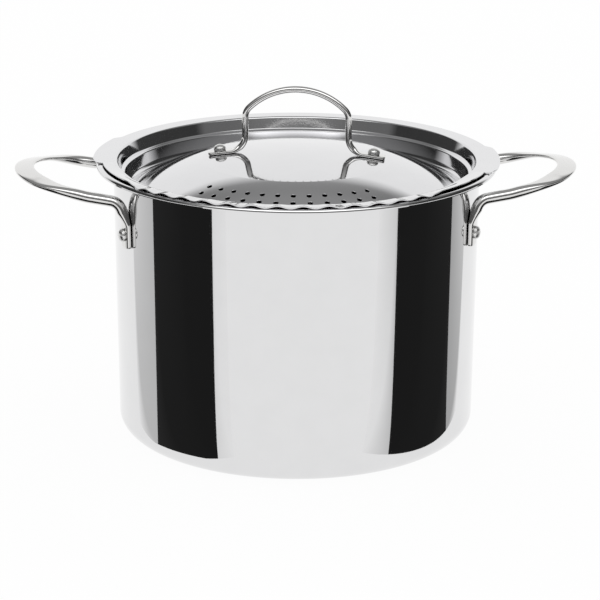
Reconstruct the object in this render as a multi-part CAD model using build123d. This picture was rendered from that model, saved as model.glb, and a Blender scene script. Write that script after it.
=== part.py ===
from build123d import *
from math import acos, asin, atan2, ceil, cos, degrees, hypot, pi, radians, sin, sqrt, tan
import os

# A stainless pasta pot with a straining lid. Millimetres, +Z up. The origin is on the pot's axis, on the
# surface that the pot stands on. The two side handles lie along X, and the lid strains over the front, -Y.

# Pot body: one drawn sheet, seen from outside
pot_height = 184.8
body_sheet = 1.0
body_radius_top = 120.9
body_taper = 1.5
base_corner_radius = 12.0
rim_width = 11.1
rim_flare_radius = 4.5
rim_edge_bend_radius = 1.4
rim_edge_drop = 2.8

# Recess under the floor, and the sandwich base that fills it
base_stand = 0.8
base_ring_width = 14.9
recess_depth = 4.2
recess_flank_run = 1.2
recess_bend_radius = 1.5
cap_sheet = 0.7
cap_edge_gap = 1.9
cap_top_gap = 0.3
cap_bend_radius = 1.1
core_edge_gap = 0.1

# Side handles: a rod, flattened to a blade at the far end and to a foot at each end
handle_leg_half_spacing = 49.6
handle_overhang = 58.1
handle_tip_half_width = 37.2
handle_knee_overhang = 15.1
handle_knee_half_width = 45.7
handle_wall_depth = 17.0
handle_knee_depth = 14.0
handle_tip_depth = 4.6
handle_rod_radius = 3.7
handle_wall_bend_radius = 10.0
handle_knee_bend_radius = 60.0
handle_loop_share = 0.985
handle_foot_run = 19.8
handle_foot_width = 11.0
handle_foot_thickness = 3.5
handle_foot_gap = 0.08
handle_foot_taper_length = 12.0
handle_blade_width = 12.6
handle_blade_thickness = 2.8
handle_blade_taper_length = 34.0
handle_blade_length = 64.0
handle_blade_tilt_angle = 17.0

# Rivets of the side handles
rivet_head_radius = 4.2
rivet_head_height = 3.4
rivet_shank_radius = 2.4
rivet_tail_radius = 4.0
rivet_tail_height = 1.4
rivet_depth_under_bend = 10.8
rivet_clearance = 0.05

# Lid: one pressed sheet. Depths are below the top of its flange, radii are of its upper side
lid_sheet = 0.8
lid_seat_gap = 0.1
lid_turn = -7.6
flange_setback = 1.5
flange_bend_radius = 1.5
lid_wall_clearance = 0.7
lid_wall_run = 2.6
ledge_outer_depth = 8.2
ledge_width = 2.8
ledge_inner_depth = 9.2
ledge_bend_radius = 1.0
channel_wall_lean = 2.0
channel_bend_radius = 3.5
channel_width = 5.5
crease_radius = 62.5
slope_inner_angle = 14.0
slope_outer_angle = 31.0
crease_depth = 1.3
dome_rise = 5.0

# Finger tabs and the set-back front edge of the lid's flange. Angles are from the lid's front
tab_overhang = 2.0
tab_start_angle = 81.0
tab_end_angle = 106.5
tab_root_angle = 109.0
notch_angle = 76.0
notch_shoulder_setback = 0.1
notch_run_angle = 0.7
notch_corner_radius = 0.9
front_edge_setback = 3.6

# Waved pouring edge, over the middle of the front
wave_count = 13
wave_pitch_angle = 6.8
wave_lift = 1.45
wave_edge_setback = 0.5
wave_root_offset = 2.6
wave_root_overlap = 0.6
wave_root_inset = 0.05
wave_station_count = 8

# Straining holes in the front slope, in radial columns
hole_radius = 1.65
hole_columns = 12
hole_column_angle = 7.2
hole_row_insets = (28.6, 21.3, 15.0)

# Lid handle: a round rod with flattened feet that lie on the dome
lid_handle_foot_run = 24.4
lid_handle_height = 45.0
lid_handle_rod_radius = 2.15
lid_handle_arch_radius = 44.9
lid_handle_shoulder_radius = 9.0
lid_handle_bend_radius = 11.0
lid_handle_foot_inset = 4.0
lid_handle_foot_width = 8.6
lid_handle_foot_thickness = 2.2
lid_handle_foot_taper_length = 7.0
lid_handle_foot_length = 15.5
lid_handle_foot_gap = 0.05
lid_rivet_inset = 7.9
lid_rivet_head_radius = 4.0
lid_rivet_head_height = 4.2
lid_rivet_shank_radius = 2.0
lid_rivet_tail_radius = 3.4
lid_rivet_tail_height = 1.2

# How far a cut runs past what it cuts
overrun = 2.0

# The middle of a span
middle_share = 0.5

# How rods are drawn: points round a section, spacing of sections, and the shape of their outlines
section_point_count = 16
section_spacing = 4.5
round_power = 2.0
flat_power = 3.6
end_rounding_length = 2.2
end_rounding_share = 0.55
run_split_share = 0.5

body_radius_base = body_radius_top - body_taper
rim_radius = body_radius_top + rim_width
recess_radius = body_radius_base - base_ring_width
handle_reach = body_radius_top + handle_overhang
handle_foot_bottom_depth = handle_wall_depth + handle_wall_bend_radius + handle_foot_run
handle_knee_reach = body_radius_top + handle_knee_overhang
lid_wall_top_radius = body_radius_top - body_sheet - lid_wall_clearance - lid_sheet
ledge_outer_radius = lid_wall_top_radius - lid_wall_run
ledge_inner_radius = ledge_outer_radius - ledge_width
slope_outer_radius = ledge_inner_radius - channel_width
flange_radius = rim_radius - flange_setback
tab_radius = rim_radius + tab_overhang
notch_shoulder_radius = rim_radius - notch_shoulder_setback
front_edge_radius = rim_radius - front_edge_setback
wave_edge_radius = rim_radius - wave_edge_setback
wave_root_radius = lid_wall_top_radius + wave_root_offset
hole_row_radii = [slope_outer_radius - inset for inset in hole_row_insets]
lid_handle_foot_end = crease_radius - lid_handle_foot_inset
lid_handle_half_width = lid_handle_foot_end - lid_handle_foot_run
lid_rivet_reach = lid_handle_foot_end - lid_rivet_inset
ring_z = base_stand
floor_z = base_stand + recess_depth
flange_top_z = pot_height + lid_seat_gap + lid_sheet
mirror_sides = (("left", -1), ("right", 1))


def wall_radius(z):
    """Outside radius of the body's wall, which tapers a little towards the base."""
    share = (z - ring_z) / (pot_height - ring_z)
    return body_radius_base + (body_radius_top - body_radius_base) * share


def revolve_sheet(path, thickness, side):
    """Turn a sheet about Z, from one side of its section."""
    outline = offset(path, amount=thickness, side=side, closed=True)
    face = make_face(Plane.XZ * outline)
    return revolve(face, axis=Axis.Z)


def cylinder_along(origin, direction, radius, start, end):
    """A cylinder from start to end along a direction."""
    base = Plane(origin=origin, z_dir=direction).offset(start)
    return extrude(base * Circle(radius), amount=end - start)


def pot_body():
    """Drawn shell: recessed floor, rounded corner, tapered wall, flared rim with its edge turned down."""
    path = FilletPolyline(
        (0, floor_z),
        (recess_radius, floor_z),
        (recess_radius + recess_flank_run, ring_z),
        (body_radius_base, ring_z),
        (body_radius_top, pot_height - body_sheet),
        (rim_radius - body_sheet, pot_height - body_sheet),
        (rim_radius - body_sheet, pot_height - rim_edge_drop),
        radius=(recess_bend_radius, recess_bend_radius, base_corner_radius, rim_flare_radius,
                rim_edge_bend_radius),
    )
    body = revolve_sheet(path, body_sheet, Side.LEFT)
    for side in (-1, 1):
        for leg in (-1, 1):
            body -= rivet_hole(side, leg)
    return body


def base_cap():
    """Shallow steel cap that closes the aluminium disc in."""
    radius = recess_radius - cap_edge_gap
    outer = Cylinder(radius, floor_z - cap_top_gap, align=(Align.CENTER, Align.CENTER, Align.MIN))
    outer = fillet(outer.edges().group_by(Axis.Z)[0], cap_bend_radius)
    inner_height = floor_z - cap_top_gap - cap_sheet + overrun
    inner = Pos(Z=cap_sheet) * Cylinder(radius - cap_sheet, inner_height,
                                        align=(Align.CENTER, Align.CENTER, Align.MIN))
    return outer - inner


def base_core():
    """Aluminium disc between the cap and the floor."""
    radius = recess_radius - cap_edge_gap - cap_sheet - core_edge_gap
    return Pos(Z=cap_sheet) * Cylinder(radius, floor_z - cap_sheet,
                                       align=(Align.CENTER, Align.CENTER, Align.MIN))


def section_wire(point, tangent, flat_normal, half_width, half_thickness, power):
    """Closed outline across a rod, between an ellipse and a rounded rectangle, as two half outlines."""
    normal = (flat_normal - tangent * flat_normal.dot(tangent)).normalized()
    across = tangent.cross(normal).normalized()
    half_count = section_point_count // 2

    def at(i):
        angle = pi * i / half_count
        c, s = cos(angle), sin(angle)
        reach = (abs(c) ** power + abs(s) ** power) ** (-1 / power)
        return point + across * (half_width * reach * c) + normal * (half_thickness * reach * s)

    def half_outline(start, direction):
        points = [at(start + i) for i in range(half_count + 1)]
        pull = direction * ((points[1] - points[0]).length * half_count)
        shares = [i / half_count for i in range(half_count + 1)]
        return Edge.make_spline(points, tangents=[pull, -pull], parameters=shares, scale=False)

    top = half_count // 2
    return Wire([half_outline(top, -across), half_outline(top + half_count, across)])


def blend_share(distance, start, length):
    """Smooth rise from 0 at start to 1 a length further on."""
    share = min(1, max(0, (distance - start) / length))
    return share * share * (3 - 2 * share)


def half_rod(path, shape_at):
    """Skin the second half of a rod's path in two runs. shape_at gives each section's shift and outline."""
    middle = path.length / 2
    steps = ceil(middle / section_spacing)
    distances = [middle + middle * i / steps for i in range(steps + 1)]
    distances.insert(-1, path.length - end_rounding_length)
    wires = []
    for distance in distances:
        u = distance / path.length
        shift, flat_normal, half_width, half_thickness, power = shape_at(distance)
        share = min(1, (path.length - distance) / end_rounding_length)
        squeeze = end_rounding_share + (1 - end_rounding_share) * share
        wires.append(section_wire(path.position_at(u) + shift, path.tangent_at(u), flat_normal,
                                  half_width * squeeze, half_thickness, power))
    split = round(steps * run_split_share)
    return Part() + [Solid.make_loft(wires[:split + 1]), Solid.make_loft(wires[split:])]


def leg_direction(leg):
    """Outward direction of the wall where a leg of the right-hand handle stands."""
    angle = asin(handle_leg_half_spacing / body_radius_top)
    return Vector(cos(angle), leg * sin(angle), 0)


def rivet_z():
    """Height of the side handles' rivets."""
    return pot_height - handle_wall_depth - handle_wall_bend_radius - rivet_depth_under_bend


def rivet_hole(side, leg):
    """Cutter for a rivet's hole, through the foot and the wall."""
    direction = leg_direction(leg)
    direction = Vector(side * direction.X, direction.Y, 0)
    origin = Vector(0, 0, rivet_z())
    reach = wall_radius(rivet_z())
    return cylinder_along(origin, direction, rivet_shank_radius + rivet_clearance,
                          reach - body_sheet - overrun, reach + handle_foot_thickness + overrun)


def handle_path():
    """Centre line of the right-hand handle, from the front foot round to the rear foot."""
    foot_z = pot_height - handle_foot_bottom_depth
    wall_z = pot_height - handle_wall_depth
    points = []
    for leg in (-1, 1):
        foot_reach = wall_radius(foot_z) + handle_foot_gap + handle_foot_thickness / 2
        top_reach = wall_radius(wall_z) + handle_foot_gap + handle_foot_thickness / 2
        half = [
            leg_direction(leg) * foot_reach + Vector(0, 0, foot_z),
            leg_direction(leg) * top_reach + Vector(0, 0, wall_z),
            Vector(handle_knee_reach, leg * handle_knee_half_width, pot_height - handle_knee_depth),
            Vector(handle_reach, leg * handle_tip_half_width, pot_height - handle_tip_depth),
        ]
        points += half if leg < 0 else half[::-1]
    run = (points[3] - points[2]).normalized()
    turn = acos(run.dot(Vector(0, 1, 0)))
    loop_radius = handle_loop_share * handle_tip_half_width / tan(turn / 2)
    bends = (handle_wall_bend_radius, handle_knee_bend_radius, loop_radius)
    return FilletPolyline(*points, radius=bends + bends[::-1])


def side_handle():
    """Right-hand handle, without its rivet holes."""
    path = handle_path()
    middle = path.length / 2
    loop_normal = Vector(handle_tip_depth - handle_knee_depth, 0, handle_reach - handle_knee_reach).normalized()

    def shape_at(distance):
        leg = -1 if distance < middle else 1
        from_foot = min(distance, path.length - distance)
        from_tip = abs(distance - middle)
        foot_share = 1 - blend_share(from_foot, handle_foot_run - handle_foot_taper_length / 2,
                                     handle_foot_taper_length)
        blade_share = 1 - blend_share(from_tip, handle_blade_length / 2, handle_blade_taper_length)
        bend_share = blend_share(from_foot, handle_foot_run, 2 * handle_wall_bend_radius)
        tilt = radians(handle_blade_tilt_angle) * blade_share
        outward = path.tangent_at(distance / path.length).cross(loop_normal)
        blade_normal = loop_normal * cos(tilt) + outward * sin(tilt)
        flat_normal = leg_direction(leg) * (bend_share - 1) + blade_normal * bend_share
        half_width = handle_rod_radius
        half_width += (handle_foot_width / 2 - handle_rod_radius) * foot_share
        half_width += (handle_blade_width / 2 - handle_rod_radius) * blade_share
        half_thickness = handle_rod_radius
        half_thickness += (handle_foot_thickness / 2 - handle_rod_radius) * foot_share
        half_thickness += (handle_blade_thickness / 2 - handle_rod_radius) * blade_share
        power = round_power + (flat_power - round_power) * max(foot_share, blade_share)
        off_wall = (half_thickness - handle_foot_thickness / 2) * (1 - bend_share)
        return leg_direction(leg) * off_wall, flat_normal, half_width, half_thickness, power

    half = half_rod(path, shape_at)
    return Part() + [half, half.mirror(Plane.XZ)]


def rivet(head_radius, head_height, shank_radius, grip, tail_radius, tail_height):
    """Round-headed rivet along Z: head above zero, shank below it, set tail at its end."""
    with BuildPart() as part:
        with BuildSketch(Plane.XZ):
            with BuildLine():
                shoulder = head_height / 3
                Polyline((0, head_height), (0, -grip - tail_height), (tail_radius / 2, -grip - tail_height))
                Spline((tail_radius / 2, -grip - tail_height), (tail_radius, -grip),
                       tangents=[(1, 0), (0, 1)])
                Polyline((tail_radius, -grip), (shank_radius, -grip), (shank_radius, 0), (head_radius, 0),
                         (head_radius, shoulder))
                Spline((head_radius, shoulder), (0, head_height), tangents=[(0, 1), (-1, 0)])
            make_face()
        revolve(axis=Axis.Z)
    return part.part


def handle_rivet(side, leg):
    """Rivet through a foot and the wall, its head outside."""
    direction = leg_direction(leg)
    direction = Vector(side * direction.X, direction.Y, 0)
    reach = wall_radius(rivet_z())
    head_seat = reach + handle_foot_gap + handle_foot_thickness + rivet_clearance
    inside = reach - body_sheet
    tail_seat = sqrt(inside ** 2 - rivet_tail_radius ** 2) - rivet_clearance
    shape = rivet(rivet_head_radius, rivet_head_height, rivet_shank_radius, head_seat - tail_seat,
                  rivet_tail_radius, rivet_tail_height)
    place = Plane(origin=direction * head_seat + Vector(0, 0, rivet_z()), z_dir=direction)
    return place * shape


def dome_z(radius):
    """Height of the lid's domed middle."""
    curve_radius = (crease_radius ** 2 + dome_rise ** 2) / (2 * dome_rise)
    apex_z = flange_top_z - crease_depth + dome_rise
    return apex_z - curve_radius + sqrt(curve_radius ** 2 - radius ** 2)


def dome_angle(radius):
    """Fall of the dome, in degrees, at a radius."""
    curve_radius = (crease_radius ** 2 + dome_rise ** 2) / (2 * dome_rise)
    return degrees(asin(radius / curve_radius))


def slope_curve_radius():
    """Radius of the arc that the slope follows from the crease outwards."""
    rise = sin(radians(slope_outer_angle)) - sin(radians(slope_inner_angle))
    return (slope_outer_radius - crease_radius) / rise


def slope_at(radius):
    """Height and fall, in degrees, of the slope's upper side at a radius."""
    curve_radius = slope_curve_radius()
    start = radians(slope_inner_angle)
    angle = asin(sin(start) + (radius - crease_radius) / curve_radius)
    height = flange_top_z - crease_depth - curve_radius * (cos(start) - cos(angle))
    return height, degrees(angle)


def lid_path():
    """Upper side of the lid's section, from the axis to the flange."""
    crease_z = flange_top_z - crease_depth
    half = crease_radius / 2
    dome = ThreePointArc((0, dome_z(0)), (half, dome_z(half)), (crease_radius, crease_z))
    middle_radius = (crease_radius + slope_outer_radius) / 2
    slope_end_z, fall = slope_at(slope_outer_radius)
    slope = ThreePointArc((crease_radius, crease_z), (middle_radius, slope_at(middle_radius)[0]),
                          (slope_outer_radius, slope_end_z))
    fall = radians(fall)
    wall_angle = radians(90 - channel_wall_lean)
    centre = Vector(slope_outer_radius + channel_bend_radius * sin(fall),
                    slope_end_z + channel_bend_radius * cos(fall))

    def on_bend(angle):
        return centre + Vector(sin(angle), -cos(angle)) * channel_bend_radius

    bend = ThreePointArc(on_bend(-fall), on_bend((wall_angle - fall) / 2), on_bend(wall_angle))
    wall_start = on_bend(wall_angle)
    ledge_z = flange_top_z - ledge_inner_depth
    walls = FilletPolyline(
        (wall_start.X, wall_start.Y),
        (wall_start.X + (ledge_z - wall_start.Y) / tan(wall_angle), ledge_z),
        (ledge_outer_radius, flange_top_z - ledge_outer_depth),
        (lid_wall_top_radius, flange_top_z),
        (wave_root_radius, flange_top_z),
        radius=(ledge_bend_radius, ledge_bend_radius, flange_bend_radius),
    )
    return Wire([dome.edge(), slope.edge(), bend.edge()] + list(walls.edges()))


def polar(radius, angle, z=0.0):
    """Point at an angle from the lid's front, positive towards the right."""
    return Vector(radius * sin(radians(angle)), -radius * cos(radians(angle)), z)


def flange_plate():
    """Flat of the flange outside the bend: back, tabs, notches and the plain part of the front edge."""
    wave_end = wave_count * wave_pitch_angle / 2
    inner = wave_root_radius - wave_root_overlap
    step = notch_angle + notch_run_angle
    middle = (tab_start_angle + tab_end_angle) / 2
    edges = [
        Line(polar(inner, wave_end), polar(front_edge_radius, wave_end)),
        ThreePointArc(polar(front_edge_radius, wave_end),
                      polar(front_edge_radius, (wave_end + notch_angle) / 2),
                      polar(front_edge_radius, notch_angle)),
        Line(polar(front_edge_radius, notch_angle), polar(notch_shoulder_radius, step)),
        Line(polar(notch_shoulder_radius, step), polar(tab_radius, tab_start_angle)),
        ThreePointArc(polar(tab_radius, tab_start_angle), polar(tab_radius, middle),
                      polar(tab_radius, tab_end_angle)),
        Line(polar(tab_radius, tab_end_angle), polar(flange_radius, tab_root_angle)),
    ]
    mirrored = [edge.mirror(Plane.YZ) for edge in edges]
    back = ThreePointArc(polar(flange_radius, tab_root_angle), polar(flange_radius, 180),
                         polar(flange_radius, -tab_root_angle))
    root = ThreePointArc(polar(inner, wave_end), polar(inner, 180), polar(inner, -wave_end))
    face = make_face([edge.edge() for edge in edges + mirrored + [back, root]])
    corners = [v for v in face.vertices()
               if min(abs(hypot(v.X, v.Y) - notch_shoulder_radius), abs(hypot(v.X, v.Y) - front_edge_radius)
                      + abs(abs(degrees(atan2(v.X, -v.Y))) - notch_angle)) < notch_corner_radius / 2]
    face = fillet(corners, notch_corner_radius)
    return extrude(Pos(Z=flange_top_z - lid_sheet) * face, amount=lid_sheet)


def wave():
    """One wave of the pouring edge: it lifts off the rim and fades towards the bend."""
    low = flange_top_z - lid_sheet
    root = wave_root_radius - wave_root_overlap
    wires = []
    for i in range(wave_station_count + 1):
        angle = wave_pitch_angle * (i / wave_station_count - middle_share)
        lift = wave_lift * (1 - cos(2 * pi * i / wave_station_count)) / 2
        corners = [
            polar(root, angle, low + wave_root_inset),
            polar(wave_edge_radius, angle, low + lift),
            polar(wave_edge_radius, angle, low + lift + lid_sheet),
            polar(root, angle, flange_top_z - wave_root_inset),
        ]
        wires.append(Wire.make_polygon(corners, close=True))
    return Solid.make_loft(wires)


def waves():
    """Waved pouring edge, in the middle of the lid's front."""
    one = wave()
    middle = (wave_count - 1) / 2
    return [Rot(0, 0, (i - middle) * wave_pitch_angle) * one for i in range(wave_count)]


def hole_cutters():
    """Straining holes, square to the slope, in radial columns."""
    cutters = []
    for radius in hole_row_radii:
        height, fall = slope_at(radius)
        for column in range(hole_columns):
            angle = (column - (hole_columns - 1) / 2) * hole_column_angle
            outward = polar(1, angle)
            direction = outward * sin(radians(fall)) + Vector(0, 0, cos(radians(fall)))
            cutters.append(cylinder_along(polar(radius, angle, height), direction, hole_radius,
                                          -lid_sheet - overrun, overrun))
    return cutters


def lid_rivet_place(side):
    """Plane on the lid handle's foot where a rivet's head sits."""
    fall = radians(dome_angle(lid_rivet_reach))
    direction = Vector(side * sin(fall), 0, cos(fall))
    origin = Vector(side * lid_rivet_reach, 0, dome_z(lid_rivet_reach))
    return Plane(origin=origin, z_dir=direction, x_dir=(0, 1, 0))


def lid_rivet_cutter(side):
    """Cutter for a lid rivet's hole, through the foot and the lid."""
    place = lid_rivet_place(side)
    return cylinder_along(place.origin, place.z_dir, lid_rivet_shank_radius + rivet_clearance,
                          -lid_sheet - overrun, lid_handle_foot_thickness + overrun)


def lid():
    """The whole lid sheet, before it is turned on the pot."""
    shell = revolve_sheet(lid_path(), lid_sheet, Side.RIGHT)
    shell = shell + flange_plate() + waves()
    for cutter in hole_cutters():
        shell -= cutter
    for side in (-1, 1):
        shell -= lid_rivet_cutter(side)
    return shell


def lid_handle_path():
    """Centre line of the lid handle in the XZ plane, from its left foot's end to its right."""
    lift = lid_handle_foot_gap + lid_handle_foot_thickness / 2
    fall = radians(dome_angle(lid_rivet_reach))
    foot_x = lid_rivet_reach + lift * sin(fall)
    foot_z = dome_z(lid_rivet_reach) + lift * cos(fall)
    top_z = flange_top_z + lid_handle_height
    arch_z = top_z - lid_handle_arch_radius
    shoulder_x = lid_handle_half_width - lid_handle_shoulder_radius
    gap = lid_handle_arch_radius - lid_handle_shoulder_radius
    shoulder_z = arch_z + sqrt(gap ** 2 - shoulder_x ** 2)
    meet = atan2(shoulder_z - arch_z, shoulder_x)

    def foot_line_z(x):
        return foot_z - (x - foot_x) * tan(fall)

    def leg(side):
        corner = FilletPolyline(
            (side * lid_handle_foot_end, 0, foot_line_z(lid_handle_foot_end)),
            (side * lid_handle_half_width, 0, foot_line_z(lid_handle_half_width)),
            (side * lid_handle_half_width, 0, shoulder_z),
            radius=lid_handle_bend_radius,
        )
        points = []
        for share in (0, middle_share, 1):
            x = shoulder_x + lid_handle_shoulder_radius * cos(meet * share)
            points.append((side * x, 0, shoulder_z + lid_handle_shoulder_radius * sin(meet * share)))
        return list(corner.edges()) + [ThreePointArc(*points).edge()]

    arch_x = lid_handle_arch_radius * cos(meet)
    arch_end_z = arch_z + lid_handle_arch_radius * sin(meet)
    arch = ThreePointArc((-arch_x, 0, arch_end_z), (0, 0, top_z), (arch_x, 0, arch_end_z)).edge()
    return Wire(leg(-1) + [arch] + leg(1))


def lid_handle():
    """Bent rod with flattened feet, before it is turned with the lid."""
    path = lid_handle_path()
    if path.position_at(0).X > 0:
        path = Wire([edge.reversed() for edge in reversed(path.edges())])

    def shape_at(distance):
        from_foot = min(distance, path.length - distance)
        foot_share = 1 - blend_share(from_foot, lid_handle_foot_length, lid_handle_foot_taper_length)
        half_width = lid_handle_rod_radius
        half_width += (lid_handle_foot_width / 2 - lid_handle_rod_radius) * foot_share
        half_thickness = lid_handle_rod_radius
        half_thickness += (lid_handle_foot_thickness / 2 - lid_handle_rod_radius) * foot_share
        power = round_power + (flat_power - round_power) * foot_share
        u = distance / path.length
        flat_normal = path.tangent_at(u).cross(Vector(0, 1, 0))
        return Vector(0, 0, 0), flat_normal, half_width, half_thickness, power

    half = half_rod(path, shape_at)
    handle = Part() + [half, half.mirror(Plane.YZ)]
    for side in (-1, 1):
        handle -= lid_rivet_cutter(side)
    return handle


def lid_rivet(side):
    """Rivet through a foot of the lid handle and the lid."""
    head_seat = lid_handle_foot_gap + lid_handle_foot_thickness + rivet_clearance
    shape = rivet(lid_rivet_head_radius, lid_rivet_head_height, lid_rivet_shank_radius,
                  head_seat + lid_sheet + rivet_clearance, lid_rivet_tail_radius, lid_rivet_tail_height)
    return lid_rivet_place(side).offset(head_seat) * shape


def all_parts():
    """Every node of the pot, by name."""
    turn = Rot(0, 0, lid_turn)
    parts = {"pot_body": pot_body(), "base_cap": base_cap(), "base_core": base_core()}
    handle = side_handle()
    for side_name, side in mirror_sides:
        shape = handle if side > 0 else handle.mirror(Plane.YZ)
        for leg_name, leg in (("front", -1), ("rear", 1)):
            shape = shape - rivet_hole(side, leg)
            parts[f"{side_name}_handle_{leg_name}_rivet"] = handle_rivet(side, leg)
        parts[f"{side_name}_handle"] = shape
    parts["straining_lid"] = turn * lid()
    parts["lid_handle"] = turn * lid_handle()
    for side_name, side in mirror_sides:
        parts[f"lid_handle_{side_name}_rivet"] = turn * lid_rivet(side)
    return parts


def main():
    os.makedirs("parts", exist_ok=True)
    for name, shape in all_parts().items():
        export_step(shape, f"parts/{name}.step")


main()
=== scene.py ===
from math import acos, asin, atan2, ceil, cos, degrees, pi, radians, sin, sqrt, tan

import bpy
import numpy as np
from mathutils import Matrix, Vector


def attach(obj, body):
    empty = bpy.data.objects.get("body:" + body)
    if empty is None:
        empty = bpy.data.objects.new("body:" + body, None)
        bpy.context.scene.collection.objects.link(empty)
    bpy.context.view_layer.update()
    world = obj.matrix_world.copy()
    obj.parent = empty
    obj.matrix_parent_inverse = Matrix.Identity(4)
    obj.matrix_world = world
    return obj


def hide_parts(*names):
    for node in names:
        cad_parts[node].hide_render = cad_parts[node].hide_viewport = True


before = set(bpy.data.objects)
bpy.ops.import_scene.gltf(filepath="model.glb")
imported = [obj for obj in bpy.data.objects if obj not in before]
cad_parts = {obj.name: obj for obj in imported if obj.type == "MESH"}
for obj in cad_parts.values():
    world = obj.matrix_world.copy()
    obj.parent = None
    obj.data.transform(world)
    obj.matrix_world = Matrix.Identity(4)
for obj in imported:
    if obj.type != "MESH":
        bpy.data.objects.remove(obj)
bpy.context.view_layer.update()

# Sizes in millimetres, as in the solids. Meshes are made in millimetres and stored in metres.
MM = 0.001

# Pot body
pot_height = 184.8
body_sheet = 1.0
body_radius_top = 120.9
body_taper = 1.5
base_corner_radius = 12.0
rim_width = 11.1
rim_flare_radius = 4.5
rim_edge_bend_radius = 1.4
rim_edge_drop = 2.8

# Base
base_stand = 0.8
base_ring_width = 14.9
recess_depth = 4.2
recess_flank_run = 1.2
recess_bend_radius = 1.5
cap_sheet = 0.7
cap_edge_gap = 1.9
cap_top_gap = 0.3
cap_bend_radius = 1.1

# Side handles
handle_leg_half_spacing = 49.6
handle_overhang = 58.1
handle_tip_half_width = 37.2
handle_knee_overhang = 15.1
handle_knee_half_width = 45.7
handle_wall_depth = 17.0
handle_knee_depth = 14.0
handle_tip_depth = 4.6
handle_rod_radius = 3.7
handle_wall_bend_radius = 10.0
handle_knee_bend_radius = 60.0
handle_loop_share = 0.985
handle_foot_run = 19.8
handle_foot_width = 11.0
handle_foot_thickness = 3.5
handle_foot_gap = 0.08
handle_foot_taper_length = 12.0
handle_blade_width = 12.6
handle_blade_thickness = 2.8
handle_blade_taper_length = 34.0
handle_blade_length = 64.0
handle_blade_tilt_angle = 17.0

# Rivets of the side handles
rivet_head_radius = 4.2
rivet_head_height = 3.4
rivet_tail_radius = 4.0
rivet_tail_height = 1.4
rivet_depth_under_bend = 10.8
rivet_clearance = 0.05

# Lid
lid_sheet = 0.8
lid_seat_gap = 0.1
lid_turn = -7.6
flange_setback = 1.5
flange_bend_radius = 1.5
lid_wall_clearance = 0.7
lid_wall_run = 2.6
ledge_outer_depth = 8.2
ledge_width = 2.8
ledge_inner_depth = 9.2
ledge_bend_radius = 1.0
channel_wall_lean = 2.0
channel_bend_radius = 3.5
channel_width = 5.5
crease_radius = 62.5
slope_inner_angle = 14.0
slope_outer_angle = 31.0
crease_depth = 1.3
dome_rise = 5.0
tab_overhang = 2.0
tab_start_angle = 81.0
tab_end_angle = 106.5
tab_root_angle = 109.0
notch_angle = 76.0
notch_shoulder_setback = 0.1
notch_run_angle = 0.7
front_edge_setback = 3.6
wave_count = 13
wave_pitch_angle = 6.8
wave_lift = 1.45
wave_edge_setback = 0.5
lip_drop = 1.4
lip_run = 3.5
lip_full_angle = 52.0
lip_end_angle = 68.0
plain_lift = 1.1
lift_run_angle = 2.5
lid_edge_round = 0.15
wave_root_offset = 2.6
hole_radius = 1.65
hole_columns = 12
hole_column_angle = 7.2
hole_row_insets = (28.6, 21.3, 15.0)

# Lid handle
lid_handle_foot_run = 24.4
lid_handle_height = 45.0
lid_handle_rod_radius = 2.15
lid_handle_arch_radius = 44.9
lid_handle_shoulder_radius = 9.0
lid_handle_bend_radius = 11.0
lid_handle_foot_inset = 4.0
lid_handle_foot_width = 8.6
lid_handle_foot_thickness = 2.2
lid_handle_foot_taper_length = 7.0
lid_handle_foot_length = 15.5
lid_handle_foot_gap = 0.05
lid_rivet_inset = 7.9
lid_rivet_head_radius = 4.0
lid_rivet_head_height = 4.2
lid_rivet_tail_radius = 3.4
lid_rivet_tail_height = 1.2

body_radius_base = body_radius_top - body_taper
rim_radius = body_radius_top + rim_width
recess_radius = body_radius_base - base_ring_width
handle_reach = body_radius_top + handle_overhang
handle_foot_bottom_depth = handle_wall_depth + handle_wall_bend_radius + handle_foot_run
handle_knee_reach = body_radius_top + handle_knee_overhang
lid_wall_top_radius = body_radius_top - body_sheet - lid_wall_clearance - lid_sheet
ledge_outer_radius = lid_wall_top_radius - lid_wall_run
ledge_inner_radius = ledge_outer_radius - ledge_width
slope_outer_radius = ledge_inner_radius - channel_width
flange_radius = rim_radius - flange_setback
tab_radius = rim_radius + tab_overhang
notch_shoulder_radius = rim_radius - notch_shoulder_setback
front_edge_radius = rim_radius - front_edge_setback
wave_edge_radius = rim_radius - wave_edge_setback
wave_root_radius = lid_wall_top_radius + wave_root_offset
hole_row_radii = [slope_outer_radius - inset for inset in hole_row_insets]
lid_handle_foot_end = crease_radius - lid_handle_foot_inset
lid_handle_half_width = lid_handle_foot_end - lid_handle_foot_run
lid_rivet_reach = lid_handle_foot_end - lid_rivet_inset
ring_z = base_stand
floor_z = base_stand + recess_depth
flange_top_z = pot_height + lid_seat_gap + lid_sheet

# How rods are drawn: the shape of their outlines, and the rounding of their ends
round_power = 2.0
flat_power = 3.6
end_rounding_length = 2.2
end_width_share = 0.45
end_thickness_share = 0.8

# Softened edges: of rivets and holes, and, in degrees, of the steps in the lid's outline
rivet_edge_round = 0.35
hole_edge_round = 0.28
notch_start_ease = 0.3
notch_end_ease = 0.4
tab_ease = 1.0
back_ease = 0.5

# Powers of the rise of a wave over the flange, and of the roundness of the lid's cut edge
wave_rise_power = 1.15
cut_edge_power = 0.3

# Fineness of the meshes
TURNS = 540
ARC_STEP = radians(5)
RIVET_TURNS = 96
ROD_AROUND = 64
ROD_STEP = 0.8
LID_HANDLE_STEP = 0.6
WALL_STEP = 6.0
CHANNEL_STEP = 2.0
LID_TURNS = 1440
HOLE_SIDES = 8
BACK_TURNS = 288
SMALL_STEP = 0.01


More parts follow.
